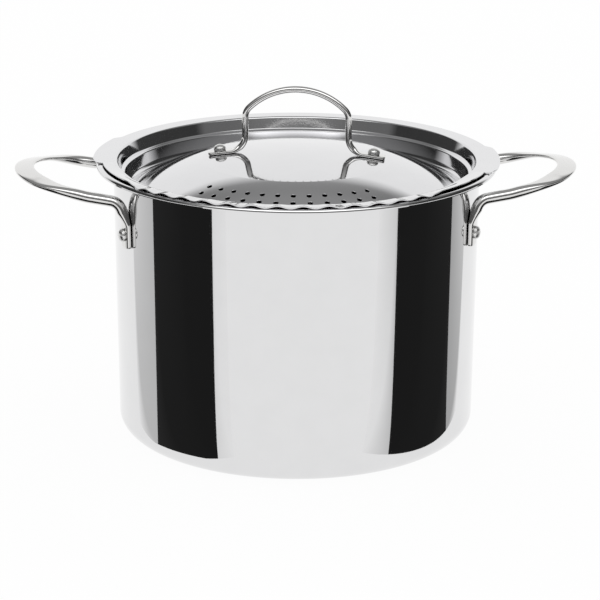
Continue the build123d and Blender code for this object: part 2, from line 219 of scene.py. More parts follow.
# Mesh building
class Skin:
    """Collects grids of points with exact normals, and welds them into one mesh."""

    def __init__(self):
        self.points, self.normals, self.quads, self.count = [], [], [], 0

    def grid(self, points, normals, wrap=False):
        """points and normals are arrays of rows x columns x 3."""
        rows, columns = points.shape[:2]
        index = np.arange(rows * columns).reshape(rows, columns) + self.count
        if wrap:
            index = np.concatenate([index, index[:, :1]], axis=1)
        quads = np.stack([index[:-1, :-1], index[1:, :-1], index[1:, 1:], index[:-1, 1:]], -1).reshape(-1, 4)
        self.points.append(points.reshape(-1, 3))
        self.normals.append(normals.reshape(-1, 3))
        self.quads.append(quads)
        self.count += rows * columns

    def build(self, name, turn=0.0, place=None):
        points = np.concatenate(self.points)
        normals = np.concatenate(self.normals)
        normals /= np.maximum(np.linalg.norm(normals, axis=1, keepdims=True), 1e-12)
        quads = np.concatenate(self.quads)
        corners = [points[quads[:, i]] for i in range(4)]
        across = np.cross(corners[2] - corners[0], corners[3] - corners[1])
        inside_out = np.sum(across * normals[quads].sum(axis=1), axis=1) < 0
        quads[inside_out] = quads[inside_out, ::-1]
        matrix = np.array(Matrix.Rotation(radians(turn), 3, "Z"))
        offset = np.zeros(3)
        if place is not None:
            matrix, offset = place
        points = points @ matrix.T + offset
        normals = normals @ matrix.T
        keys = np.round(points, 4)
        unique, first, inverse = np.unique(keys, axis=0, return_index=True, return_inverse=True)
        inverse = inverse.reshape(-1)
        faces, corner_normals = [], []
        for quad in quads:
            ids, kept = [], []
            for corner in quad:
                vertex = inverse[corner]
                if vertex not in ids:
                    ids.append(vertex)
                    kept.append(corner)
            if len(ids) > 2:
                faces.append([int(i) for i in ids])
                corner_normals.extend(kept)
        mesh = bpy.data.meshes.new(name)
        mesh.from_pydata((points[first] * MM).tolist(), [], faces)
        mesh.shade_smooth()
        mesh.normals_split_custom_set(normals[corner_normals].tolist())
        obj = bpy.data.objects.new(name, mesh)
        bpy.context.scene.collection.objects.link(obj)
        return obj


def unit(v):
    v = np.asarray(v, float)
    return v / max(np.linalg.norm(v), 1e-12)


class Track:
    """A run of straight lines and arcs in space, sampled by length."""

    def __init__(self):
        self.parts = []

    def line(self, a, b):
        a, b = np.asarray(a, float), np.asarray(b, float)
        length = np.linalg.norm(b - a)
        if length > 1e-9:
            self.parts.append(("line", length, a, unit(b - a)))

    def arc(self, centre, start, tangent, angle):
        """Turn from start about centre. tangent is the direction at start."""
        centre, start = np.asarray(centre, float), np.asarray(start, float)
        radius = np.linalg.norm(start - centre)
        self.parts.append(("arc", radius * angle, centre, unit(start - centre), unit(tangent), radius))

    def rounded(self, points, radii):
        """Polyline with its inner corners rounded."""
        points = [np.asarray(p, float) for p in points]
        start = points[0]
        for before, corner, after, radius in zip(points, points[1:], points[2:], radii):
            d1, d2 = unit(corner - before), unit(after - corner)
            angle = acos(max(-1, min(1, d1 @ d2)))
            cut = radius * tan(angle / 2)
            a = corner - d1 * cut
            self.line(start, a)
            inward = unit(d2 - d1 * (d1 @ d2))
            self.arc(a + inward * radius, a, d1, angle)
            start = corner + d2 * cut
        self.line(start, points[-1])
        return self

    @property
    def length(self):
        return sum(part[1] for part in self.parts)

    def at(self, distance):
        """Place and direction at a distance from the start."""
        for i, part in enumerate(self.parts):
            if distance <= part[1] or i == len(self.parts) - 1:
                if part[0] == "line":
                    return part[2] + part[3] * distance, part[3]
                _, _, centre, out, tangent, radius = part
                angle = distance / radius
                place = centre + (out * cos(angle) + tangent * sin(angle)) * radius
                return place, tangent * cos(angle) - out * sin(angle)
            distance -= part[1]

    def samples(self, line_step=1e9):
        """Points and directions of every part, each part with both its ends."""
        places, ways = [], []
        for part in self.parts:
            count = ceil(part[1] / part[5] / ARC_STEP) if part[0] == "arc" else ceil(part[1] / line_step)
            count = max(count, 1)
            single = Track()
            single.parts = [part]
            for i in range(count + 1):
                place, way = single.at(part[1] * i / count)
                places.append(place)
                ways.append(way)
        return np.array(places), np.array(ways)


def profile(points, radii, line_step=1e9):
    """Section in the XZ plane: radii, heights and left-hand normals."""
    track = Track().rounded([(r, 0, z) for r, z in points], radii)
    places, ways = track.samples(line_step)
    return places[:, 0], places[:, 2], -ways[:, 2], ways[:, 0]


def revolve(skin, r, z, nr, nz, side=1, turns=TURNS):
    """Turn a section about Z. side 1 faces its left, -1 its right."""
    angles = np.arange(turns) * 2 * pi / turns
    c, s = np.cos(angles), np.sin(angles)
    r, z, nr, nz = (np.asarray(v, float)[:, None] for v in (r, z, nr, nz))
    ones = np.ones_like(c)[None]
    points = np.stack([r * c, r * s, z * ones], -1)
    normals = np.stack([nr * c, nr * s, nz * ones], -1) * side
    skin.grid(points, normals, wrap=True)


def wall_radius(z):
    share = (z - ring_z) / (pot_height - ring_z)
    return body_radius_base + (body_radius_top - body_radius_base) * share


def make_pot_body():
    corners = [(0, floor_z), (recess_radius, floor_z), (recess_radius + recess_flank_run, ring_z),
               (body_radius_base, ring_z), (body_radius_top, pot_height - body_sheet),
               (rim_radius - body_sheet, pot_height - body_sheet),
               (rim_radius - body_sheet, pot_height - rim_edge_drop)]
    radii = (recess_bend_radius, recess_bend_radius, base_corner_radius, rim_flare_radius,
             rim_edge_bend_radius)
    r, z, nr, nz = profile(corners, radii, line_step=WALL_STEP)
    skin = Skin()
    revolve(skin, r, z, nr, nz, side=-1)
    revolve(skin, r + nr * body_sheet, z + nz * body_sheet, nr, nz)
    end_r = np.array([r[-1] + nr[-1] * body_sheet, r[-1]])
    end_z = np.array([z[-1] + nz[-1] * body_sheet, z[-1]])
    revolve(skin, end_r, end_z, [0, 0], [-1, -1])
    return skin.build("pot_shell")


def make_base_cap():
    radius = recess_radius - cap_edge_gap
    top = floor_z - cap_top_gap
    r, z, nr, nz = profile([(0, 0), (radius, 0), (radius, top), (radius - cap_sheet, top),
                            (radius - cap_sheet, cap_sheet), (0, cap_sheet)],
                           (cap_bend_radius, 1e-6, 1e-6, 1e-6))
    skin = Skin()
    revolve(skin, r, z, nr, nz, side=-1)
    return skin.build("base_disc_cap")


# Rods
def blend_share(distance, start, length):
    share = min(1, max(0, (distance - start) / length))
    return share * share * (3 - 2 * share)


def rod(track, shape_at, name, step=ROD_STEP, turn=0.0, mirror=False):
    """Skin a rod along a track with sections that change shape, and close its ends."""
    steps = ceil(track.length / step)
    distances = [track.length * i / steps for i in range(steps + 1)]
    extra = [end_rounding_length * (1 - cos(pi / 2 * i / 8)) for i in range(1, 8)]
    distances = sorted(set(distances + extra + [track.length - e for e in extra]))
    angles = np.arange(ROD_AROUND) * 2 * pi / ROD_AROUND
    c, s = np.cos(angles), np.sin(angles)
    rows = []
    for distance in distances:
        place, way = track.at(distance)
        shift, flat, half_width, half_thickness, power = shape_at(distance)
        flat = unit(flat - way * (flat @ way))
        across = unit(np.cross(way, flat))
        from_end = min(distance, track.length - distance)
        if from_end < end_rounding_length:
            lift = sqrt(max(0, 1 - (1 - from_end / end_rounding_length) ** 2))
            half_width *= end_width_share + (1 - end_width_share) * lift
            half_thickness *= end_thickness_share + (1 - end_thickness_share) * lift
        reach = (np.abs(c) ** power + np.abs(s) ** power) ** (-1 / power)
        rows.append(place + shift + np.outer(half_width * reach * c, across)
                    + np.outer(half_thickness * reach * s, flat))
    rows = np.array(rows)
    if mirror:
        rows = rows * np.array([-1, 1, 1])
    along = np.gradient(rows, axis=0)
    ahead = np.roll(rows, -1, axis=1) - np.roll(rows, 1, axis=1)
    normals = np.cross(ahead, along)
    centre = rows.mean(axis=1, keepdims=True)
    if np.sum(normals * (rows - centre)) < 0:
        normals = -normals
    normals /= np.maximum(np.linalg.norm(normals, axis=2, keepdims=True), 1e-12)
    skin = Skin()
    skin.grid(rows, normals, wrap=True)
    for end, sign in ((0, -1), (-1, 1)):
        ring, middle = rows[end], centre[end]
        out = unit(along[end].mean(axis=0)) * sign
        cap = np.stack([ring, ring * 0 + middle])
        cap_normals = np.zeros_like(cap) + out
        skin.grid(cap, cap_normals, wrap=True)
    return skin.build(name, turn=turn)


def leg_direction(leg):
    angle = asin(handle_leg_half_spacing / body_radius_top)
    return np.array([cos(angle), leg * sin(angle), 0])


def handle_track():
    foot_z = pot_height - handle_foot_bottom_depth
    wall_z = pot_height - handle_wall_depth
    points = []
    for leg in (-1, 1):
        foot_reach = wall_radius(foot_z) + handle_foot_gap + handle_foot_thickness / 2
        top_reach = wall_radius(wall_z) + handle_foot_gap + handle_foot_thickness / 2
        half = [leg_direction(leg) * foot_reach + (0, 0, foot_z),
                leg_direction(leg) * top_reach + (0, 0, wall_z),
                np.array([handle_knee_reach, leg * handle_knee_half_width, pot_height - handle_knee_depth]),
                np.array([handle_reach, leg * handle_tip_half_width, pot_height - handle_tip_depth])]
        points += half if leg < 0 else half[::-1]
    run = unit(points[3] - points[2])
    turn = acos(run[1])
    loop_radius = handle_loop_share * handle_tip_half_width / tan(turn / 2)
    bends = (handle_wall_bend_radius, handle_knee_bend_radius, loop_radius)
    return Track().rounded(points, bends + bends[::-1])


def make_side_handle(name, side):
    track = handle_track()
    middle = track.length / 2
    loop_normal = unit([handle_tip_depth - handle_knee_depth, 0, handle_reach - handle_knee_reach])

    def shape_at(distance):
        leg = -1 if distance < middle else 1
        from_foot = min(distance, track.length - distance)
        from_tip = abs(distance - middle)
        foot = 1 - blend_share(from_foot, handle_foot_run - handle_foot_taper_length / 2,
                               handle_foot_taper_length)
        blade = 1 - blend_share(from_tip, handle_blade_length / 2, handle_blade_taper_length)
        bend = blend_share(from_foot, handle_foot_run, 2 * handle_wall_bend_radius)
        tilt = radians(handle_blade_tilt_angle) * blade
        blade_normal = loop_normal * cos(tilt) + np.cross(track.at(distance)[1], loop_normal) * sin(tilt)
        flat = leg_direction(leg) * (bend - 1) + blade_normal * bend
        half_width = handle_rod_radius + (handle_foot_width / 2 - handle_rod_radius) * foot
        half_width += (handle_blade_width / 2 - handle_rod_radius) * blade
        half_thickness = handle_rod_radius + (handle_foot_thickness / 2 - handle_rod_radius) * foot
        half_thickness += (handle_blade_thickness / 2 - handle_rod_radius) * blade
        power = round_power + (flat_power - round_power) * max(foot, blade)
        off_wall = (half_thickness - handle_foot_thickness / 2) * (1 - bend)
        return leg_direction(leg) * off_wall, flat, half_width, half_thickness, power

    return rod(track, shape_at, name, mirror=side < 0)


# Rivets
def rivet_skin(head_radius, head_height, grip, tail_radius, tail_height):
    """Round head above zero with a low cylindrical edge, and the set tail below the grip."""
    skin = Skin()
    shoulder = head_height / 3
    edge = rivet_edge_round
    r, z, nr, nz = [], [], [], []
    for i in range(13):
        angle = pi / 2 * i / 12
        r.append(head_radius * cos(angle))
        z.append(shoulder + (head_height - shoulder) * sin(angle))
        n = unit([cos(angle) / head_radius, sin(angle) / (head_height - shoulder)])
        nr.append(n[0])
        nz.append(n[1])
    base_r, base_z, base_nr, base_nz = [], [], [], []
    for i in range(7):
        angle = -pi / 2 + pi / 2 * i / 6
        base_r.append(head_radius - edge + edge * cos(angle))
        base_z.append(edge + edge * sin(angle))
        base_nr.append(cos(angle))
        base_nz.append(sin(angle))
    revolve(skin, [0, head_radius - edge], [0, 0], [0, 0], [-1, -1], turns=RIVET_TURNS)
    revolve(skin, base_r, base_z, base_nr, base_nz, turns=RIVET_TURNS)
    revolve(skin, [head_radius, head_radius], [edge, shoulder], [1, 1], [0, 0], turns=RIVET_TURNS)
    revolve(skin, r, z, nr, nz, turns=RIVET_TURNS)
    tr, tz, tnr, tnz = [], [], [], []
    for i in range(9):
        angle = pi / 2 * i / 8
        tr.append(tail_radius * cos(angle))
        tz.append(-grip - tail_height * sin(angle))
        n = unit([cos(angle) / tail_radius, -sin(angle) / tail_height])
        tnr.append(n[0])
        tnz.append(n[1])
    revolve(skin, tr[::-1], tz[::-1], tnr[::-1], tnz[::-1], turns=RIVET_TURNS)
    revolve(skin, [tail_radius, 0], [-grip, -grip], [0, 0], [1, 1], turns=RIVET_TURNS)
    return skin


def plane_place(origin, z_dir):
    z_dir = unit(z_dir)
    x_dir = unit(np.cross([0, 1, 0.1], z_dir))
    y_dir = np.cross(z_dir, x_dir)
    return np.stack([x_dir, y_dir, z_dir], axis=1), np.asarray(origin, float)


def make_handle_rivet(name, side, leg):
    direction = leg_direction(leg) * (side, 1, 1)
    height = pot_height - handle_wall_depth - handle_wall_bend_radius - rivet_depth_under_bend
    reach = wall_radius(height)
    head_seat = reach + handle_foot_gap + handle_foot_thickness + rivet_clearance
    inside = reach - body_sheet
    tail_seat = sqrt(inside ** 2 - rivet_tail_radius ** 2) - rivet_clearance
    skin = rivet_skin(rivet_head_radius, rivet_head_height, head_seat - tail_seat,
                      rivet_tail_radius, rivet_tail_height)
    return skin.build(name, place=plane_place(direction * head_seat + (0, 0, height), direction))


# Lid
def dome_z(radius):
    curve = (crease_radius ** 2 + dome_rise ** 2) / (2 * dome_rise)
    return flange_top_z - crease_depth + dome_rise - curve + np.sqrt(curve ** 2 - np.square(radius))


def dome_angle(radius):
    curve = (crease_radius ** 2 + dome_rise ** 2) / (2 * dome_rise)
    return np.arcsin(radius / curve)


def slope_curve():
    rise = sin(radians(slope_outer_angle)) - sin(radians(slope_inner_angle))
    return (slope_outer_radius - crease_radius) / rise


def slope_at(radius):
    """Height and fall, in radians, of the slope at radii."""
    curve, start = slope_curve(), radians(slope_inner_angle)
    angle = np.arcsin(sin(start) + (np.asarray(radius, float) - crease_radius) / curve)
    return flange_top_z - crease_depth - curve * (cos(start) - np.cos(angle)), angle


def lip_drop_at(radius, angle, z):
    """How far the root of the pouring lip is pressed down, between the ledge and the edge."""
    front = 1 - smooth(np.abs(angle), lip_full_angle, lip_end_angle)
    above = smooth(z, flange_top_z - ledge_outer_depth, flange_top_z - lid_sheet)
    inner = 1 - smooth(radius, lid_wall_top_radius, wave_root_radius + lip_run)
    return lip_drop * front * above * inner * (radius > ledge_inner_radius)


def lid_points(radius, angle, z):
    """Angles are in degrees from the lid's front."""
    a = np.radians(angle)
    height = z - lip_drop_at(radius, angle, z)
    return np.stack([radius * np.sin(a), -radius * np.cos(a), height + 0 * a], -1)


def lid_band(skin, radii, z, nr, nz, angles):
    """Top and bottom of a ring of the lid, or of a sector of one."""
    angles = np.asarray(angles, float)
    shape = (len(radii), len(angles))
    wrap = abs(angles[-1] - angles[0]) < 359.999 and abs(angles[-1] - angles[0]) > 355
    columns = np.broadcast_to(angles, shape)
    for offset, sign in ((0, 1), (lid_sheet, -1)):
        r = np.broadcast_to((radii - nr * offset)[:, None], shape)
        height = np.broadcast_to((z - nz * offset)[:, None], shape)
        points = lid_points(r, columns, height)
        a = np.radians(columns)
        normals = np.stack([nr[:, None] * np.sin(a), -nr[:, None] * np.cos(a),
                            np.broadcast_to(nz[:, None], shape)], -1) * sign
        skin.grid(points, normals, wrap=wrap)


def slope_band(skin, radii, angles):
    z, fall = slope_at(radii)
    lid_band(skin, np.asarray(radii, float), z, np.sin(fall), np.cos(fall), angles)


def hole_cell(skin, row, column, low, high):
    """Square-edged patch of the slope round one hole, with a softened hole edge."""
    radius = hole_row_radii[row]
    middle = (column - (hole_columns - 1) / 2) * hole_column_angle
    half = hole_column_angle / 2
    t = np.linspace(-1, 1, HOLE_SIDES + 1)
    edge = [(low, middle + half * v) for v in t[:-1]]
    edge += [(low + (high - low) * (v + 1) / 2, middle + half) for v in t[:-1]]
    edge += [(high, middle - half * v) for v in t[:-1]]
    edge += [(high - (high - low) * (v + 1) / 2, middle - half) for v in t[:-1]]
    edge = np.array(edge)
    fall = float(slope_at(radius)[1])
    xi = np.radians(edge[:, 1] - middle) * radius
    eta = (edge[:, 0] - radius) / cos(fall)
    direction = np.arctan2(eta, xi)
    soft = hole_edge_round

    def surface(x, e, depth, tilt):
        r = radius + e * cos(fall)
        angle = middle + np.degrees(x / radius)
        z, f = slope_at(r)
        up = np.stack([np.sin(f) * np.sin(np.radians(angle)), -np.sin(f) * np.cos(np.radians(angle)),
                       np.cos(f)], -1)
        points = lid_points(r, angle, z) - up * depth
        inner_r = r - np.sin(direction) * cos(fall) * SMALL_STEP
        inner_angle = angle - np.degrees(np.cos(direction) * SMALL_STEP / radius)
        inward = lid_points(inner_r, inner_angle, slope_at(inner_r)[0]) - lid_points(r, angle, z)
        inward /= np.linalg.norm(inward, axis=1, keepdims=True)
        return points, up * cos(tilt) + inward * sin(tilt)

    for sign in (1, -1):
        base = 0 if sign > 0 else lid_sheet
        rings, tops = [], []
        for share in (0.0, 0.35, 0.7, 1.0):
            ring = hole_radius + soft
            x = xi * (1 - share) + ring * np.cos(direction) * share
            e = eta * (1 - share) + ring * np.sin(direction) * share
            points, up = surface(x, e, base, 0.0)
            rings.append(points)
            tops.append(up * sign)
        for i in range(1, 5):
            angle = pi / 2 * i / 4
            ring = hole_radius + soft * (1 - sin(angle))
            depth = base + sign * soft * (1 - cos(angle))
            points, up = surface(ring * np.cos(direction), ring * np.sin(direction), depth, 0.0)
            _, lean = surface(ring * np.cos(direction), ring * np.sin(direction), depth, angle)
            rings.append(points)
            tops.append(up * (sign * cos(angle)) + (lean - up * cos(angle)))
        skin.grid(np.array(rings), np.array(tops), wrap=True)
    walls, normals = [], []
    for depth in (soft, lid_sheet - soft):
        points, _ = surface(hole_radius * np.cos(direction), hole_radius * np.sin(direction), depth, 0.0)
        _, lean = surface(hole_radius * np.cos(direction), hole_radius * np.sin(direction), depth, pi / 2)
        walls.append(points)
        normals.append(lean)
    skin.grid(np.array(walls), np.array(normals), wrap=True)


def smooth(a, start, end):
    share = np.clip((a - start) / (end - start), 0, 1)
    return share * share * (3 - 2 * share)


def edge_radius(angle):
    """Outer edge of the flange at angles from the lid's front."""
    a = np.abs(angle)
    wave_end = wave_count * wave_pitch_angle / 2
    plain = smooth(a, wave_end, wave_end + wave_pitch_angle)
    shoulder = smooth(a, notch_angle - notch_start_ease, notch_angle + notch_run_angle + notch_end_ease)
    tab = smooth(a, notch_angle + tab_ease, tab_start_angle + tab_ease)
    back = smooth(a, tab_end_angle - back_ease, tab_root_angle + back_ease)
    r = wave_edge_radius + (front_edge_radius - wave_edge_radius) * plain
    r = r + (notch_shoulder_radius - front_edge_radius) * shoulder
    r = r + (tab_radius - notch_shoulder_radius) * tab
    return r + (flange_radius - tab_radius) * back


def wave_height(angle):
    """Height of the pouring edge over the rim: waves in the middle, a plain raised run on each side."""
    wave_end = wave_count * wave_pitch_angle / 2
    a = np.abs(angle)
    plain = smooth(a, wave_end, wave_end + lift_run_angle)
    plain = plain * (1 - smooth(a, notch_angle - lift_run_angle / 2, notch_angle))
    wave = wave_lift * (1 + np.cos(2 * pi * angle / wave_pitch_angle)) / 2
    return np.where(a < wave_end, wave, plain_lift * plain)


def flange_surface(angle, share, side, level):
    """Point on the flange. level is the height over its mid-plane, share runs out to the edge."""
    half = lid_sheet / 2
    reach = edge_radius(angle) - lid_edge_round
    r = wave_root_radius + (reach - wave_root_radius) * share
    z = flange_top_z - half + level + wave_height(angle) * share ** wave_rise_power
    return lid_points(r + side, angle, z)


def surface_normals(function, angle, share):
    """Normals of a surface of angle and share, by small steps."""
    d_angle, d_share = 0.01, 0.002
    along = function(angle + d_angle, share) - function(angle - d_angle, share)
    out = function(angle, share + d_share) - function(angle, share - d_share)
    normals = np.cross(out, along)
    return normals / np.linalg.norm(normals, axis=-1, keepdims=True)


def make_lid():
    skin = Skin()
    ring = np.arange(LID_TURNS) * (360 / LID_TURNS) - 180
    dome_r = np.linspace(0, crease_radius, 33)
    fall = dome_angle(dome_r)
    lid_band(skin, dome_r, dome_z(dome_r), np.sin(fall), np.cos(fall), ring[::2])
    half_span = hole_columns * hole_column_angle / 2
    gaps = [(a + b) / 2 for a, b in zip(hole_row_radii, hole_row_radii[1:])]
    bounds = [hole_row_radii[0] - (gaps[0] - hole_row_radii[0])] + gaps
    bounds.append(hole_row_radii[-1] + (hole_row_radii[-1] - gaps[-1]))
    step = hole_column_angle / HOLE_SIDES
    inside = np.arange(hole_columns * HOLE_SIDES + 1) * step - half_span
    outside = half_span + (360 - 2 * half_span) * np.arange(BACK_TURNS + 1) / BACK_TURNS
    around = np.concatenate([inside, outside[1:-1]])
    slope_band(skin, np.linspace(crease_radius, bounds[0], 6), around)
    slope_band(skin, np.linspace(bounds[-1], slope_outer_radius, 7), around)
    slope_band(skin, np.linspace(bounds[0], bounds[-1], 10), outside)
    for row in range(len(hole_row_radii)):
        for column in range(hole_columns):
            hole_cell(skin, row, column, bounds[row], bounds[row + 1])

    slope_end_z, fall = slope_at(slope_outer_radius)
    slope_end_z, fall = float(slope_end_z), float(fall)
    wall_angle = radians(90 - channel_wall_lean)
    centre = np.array([slope_outer_radius + channel_bend_radius * sin(fall), 0,
                       slope_end_z + channel_bend_radius * cos(fall)])
    start = np.array([slope_outer_radius, 0, slope_end_z])
    track = Track()
    track.arc(centre, start, (cos(fall), 0, -sin(fall)), wall_angle + fall)
    wall_start, _ = track.at(track.length)
    ledge_z = flange_top_z - ledge_inner_depth
    walls = Track().rounded([
        wall_start,
        (wall_start[0] + (ledge_z - wall_start[2]) / tan(wall_angle), 0, ledge_z),
        (ledge_outer_radius, 0, flange_top_z - ledge_outer_depth),
        (lid_wall_top_radius, 0, flange_top_z),
        (wave_root_radius, 0, flange_top_z)],
        (ledge_bend_radius, ledge_bend_radius, flange_bend_radius))
    track.parts += walls.parts
    places, ways = track.samples(CHANNEL_STEP)
    lid_band(skin, places[:, 0], places[:, 2], -ways[:, 2], ways[:, 0], ring)

    half = lid_sheet / 2
    share = np.linspace(0, 1, 13)[:, None] + 0 * ring[None]
    angle = np.broadcast_to(ring, share.shape)
    for sign in (1, -1):
        def sheet_side(a, s):
            return flange_surface(a, s, 0.0, sign * half)
        normals = surface_normals(sheet_side, angle, share) * sign
        skin.grid(sheet_side(angle, share), normals, wrap=True)
    turn = np.linspace(0, pi, 13)[:, None] + 0 * ring[None]
    angle = np.broadcast_to(ring, turn.shape)

    def cut_edge(a, t):
        rise = np.sign(np.cos(t)) * np.abs(np.cos(t)) ** cut_edge_power
        return flange_surface(a, 1.0, lid_edge_round * np.sqrt(np.abs(np.sin(t))), half * rise)
    skin.grid(cut_edge(angle, turn), surface_normals(cut_edge, angle, turn), wrap=True)
    return skin.build("straining_lid_sheet", turn=lid_turn)


def lid_handle_track():
    lift = lid_handle_foot_gap + lid_handle_foot_thickness / 2
    fall = float(dome_angle(lid_rivet_reach))
    foot_x = lid_rivet_reach + lift * sin(fall)
    foot_z = float(dome_z(lid_rivet_reach)) + lift * cos(fall)
    top_z = flange_top_z + lid_handle_height
    arch_z = top_z - lid_handle_arch_radius
    shoulder_x = lid_handle_half_width - lid_handle_shoulder_radius
    gap = lid_handle_arch_radius - lid_handle_shoulder_radius
    shoulder_z = arch_z + sqrt(gap ** 2 - shoulder_x ** 2)
    meet = atan2(shoulder_z - arch_z, shoulder_x)

    def foot_line(x):
        return foot_z - (abs(x) - foot_x) * tan(fall)

    track = Track().rounded([
        (-lid_handle_foot_end, 0, foot_line(lid_handle_foot_end)),
        (-lid_handle_half_width, 0, foot_line(lid_handle_half_width)),
        (-lid_handle_half_width, 0, shoulder_z)], (lid_handle_bend_radius,))
    track.arc((-shoulder_x, 0, shoulder_z), (-lid_handle_half_width, 0, shoulder_z), (0, 0, 1), meet)
    start, way = track.at(track.length)
    track.arc((0, 0, arch_z), start, way, pi - 2 * meet)
    start, way = track.at(track.length)
    track.arc((shoulder_x, 0, shoulder_z), start, way, meet)
    track.parts += Track().rounded([
        (lid_handle_half_width, 0, shoulder_z),
        (lid_handle_half_width, 0, foot_line(lid_handle_half_width)),
        (lid_handle_foot_end, 0, foot_line(lid_handle_foot_end))], (lid_handle_bend_radius,)).parts
    return track


def make_lid_handle():
    track = lid_handle_track()

    def shape_at(distance):
        from_foot = min(distance, track.length - distance)
        foot = 1 - blend_share(from_foot, lid_handle_foot_length, lid_handle_foot_taper_length)
        half_width = lid_handle_rod_radius + (lid_handle_foot_width / 2 - lid_handle_rod_radius) * foot
        half_thickness = lid_handle_rod_radius
        half_thickness += (lid_handle_foot_thickness / 2 - lid_handle_rod_radius) * foot
        flat = np.cross(track.at(distance)[1], (0, 1, 0))
        power = round_power + (flat_power - round_power) * foot
        return np.zeros(3), flat, half_width, half_thickness, power

    return rod(track, shape_at, "lid_handle_rod", step=LID_HANDLE_STEP, turn=lid_turn)


def make_lid_rivet(name, side):
    fall = float(dome_angle(lid_rivet_reach))
    turn = np.array(Matrix.Rotation(radians(lid_turn), 3, "Z"))
    direction = turn @ np.array([side * sin(fall), 0, cos(fall)])
    origin = turn @ np.array([side * lid_rivet_reach, 0, float(dome_z(lid_rivet_reach))])
    head_seat = lid_handle_foot_gap + lid_handle_foot_thickness + rivet_clearance
    skin = rivet_skin(lid_rivet_head_radius, lid_rivet_head_height,
                      head_seat + lid_sheet + rivet_clearance, lid_rivet_tail_radius, lid_rivet_tail_height)
    return skin.build(name, place=plane_place(origin + direction * head_seat, direction))


# Materials
def new_material(name):
    material = bpy.data.materials.new(name)
    material.use_nodes = True
    nodes = material.node_tree.nodes
    nodes.clear()
    return material, nodes, material.node_tree.links


def steel(name, colour, roughness, mottle, scratch, wobble, scratch_scale=(900, 900, 60)):
    """Polished or satin steel: slight mottling, fine scratches and a faint unevenness of the sheet."""
    material, nodes, links = new_material(name)
    out = nodes.new("ShaderNodeOutputMaterial")
    shader = nodes.new("ShaderNodeBsdfPrincipled")
    links.new(shader.outputs[0], out.inputs[0])
    shader.inputs["Metallic"].default_value = 1.0
    coord = nodes.new("ShaderNodeTexCoord")
    noise = nodes.new("ShaderNodeTexNoise")
    noise.inputs["Scale"].default_value = 60
    noise.inputs["Detail"].default_value = 5
    links.new(coord.outputs["Object"], noise.inputs["Vector"])
    tint = nodes.new("ShaderNodeMix")
    tint.data_type = "RGBA"
    dark = [c * (1 - 0.05) for c in colour]
    tint.inputs["A"].default_value = (*dark, 1)
    tint.inputs["B"].default_value = (*colour, 1)
    links.new(noise.outputs["Fac"], tint.inputs["Factor"])
    links.new(tint.outputs["Result"], shader.inputs["Base Color"])
    stretch = nodes.new("ShaderNodeMapping")
    stretch.inputs["Scale"].default_value = scratch_scale
    links.new(coord.outputs["Object"], stretch.inputs["Vector"])
    lines = nodes.new("ShaderNodeTexNoise")
    lines.inputs["Scale"].default_value = 1.0
    lines.inputs["Detail"].default_value = 3
    links.new(stretch.outputs["Vector"], lines.inputs["Vector"])
    rough = nodes.new("ShaderNodeMapRange")
    rough.inputs["From Min"].default_value = 0.3
    rough.inputs["From Max"].default_value = 0.7
    rough.inputs["To Min"].default_value = roughness * (1 - mottle)
    rough.inputs["To Max"].default_value = roughness * (1 + mottle)
    links.new(lines.outputs["Fac"], rough.inputs["Value"])
    links.new(rough.outputs["Result"], shader.inputs["Roughness"])
    fine_bump = nodes.new("ShaderNodeBump")
    fine_bump.inputs["Strength"].default_value = scratch
    fine_bump.inputs["Distance"].default_value = 0.00002
    links.new(lines.outputs["Fac"], fine_bump.inputs["Height"])
    soft = nodes.new("ShaderNodeTexNoise")
    soft.inputs["Scale"].default_value = 22
    soft.inputs["Detail"].default_value = 1
    links.new(coord.outputs["Object"], soft.inputs["Vector"])
    soft_bump = nodes.new("ShaderNodeBump")
    soft_bump.inputs["Strength"].default_value = wobble
    soft_bump.inputs["Distance"].default_value = 0.0002
    links.new(soft.outputs["Fac"], soft_bump.inputs["Height"])
    links.new(fine_bump.outputs["Normal"], soft_bump.inputs["Normal"])
    links.new(soft_bump.outputs["Normal"], shader.inputs["Normal"])
    return material


def glow(name, attribute):
    """Plain self-lit surface for a card that only reflections see, its level from the mesh."""
    material, nodes, links = new_material(name)
    out = nodes.new("ShaderNodeOutputMaterial")
    shader = nodes.new("ShaderNodeEmission")
    source = nodes.new("ShaderNodeAttribute")
    source.attribute_name = attribute
    links.new(source.outputs["Color"], shader.inputs["Color"])
    links.new(shader.outputs[0], out.inputs[0])
    return material


def floor_material():
    material, nodes, links = new_material("floor_pale")
    out = nodes.new("ShaderNodeOutputMaterial")
    path = nodes.new("ShaderNodeLightPath")
    seen = nodes.new("ShaderNodeMath")
    seen.operation = "MAXIMUM"
    links.new(path.outputs["Is Camera Ray"], seen.inputs[0])
    links.new(path.outputs["Is Glossy Ray"], seen.inputs[1])
    also = nodes.new("ShaderNodeMath")
    also.operation = "MAXIMUM"
    links.new(seen.outputs[0], also.inputs[0])
    links.new(path.outputs["Is Transmission Ray"], also.inputs[1])
    share = nodes.new("ShaderNodeMath")
    share.operation = "MULTIPLY"
    share.inputs[1].default_value = FLOOR_WHITE_SHARE
    links.new(also.outputs[0], share.inputs[0])
    diffuse = nodes.new("ShaderNodeBsdfDiffuse")
    diffuse.inputs["Color"].default_value = (0.9, 0.9, 0.9, 1)
    white = nodes.new("ShaderNodeEmission")
    white.inputs["Color"].default_value = (1, 1, 1, 1)
    mix = nodes.new("ShaderNodeMixShader")
    links.new(share.outputs[0], mix.inputs[0])
    links.new(diffuse.outputs[0], mix.inputs[1])
    links.new(white.outputs[0], mix.inputs[2])
    links.new(mix.outputs[0], out.inputs[0])
    return material


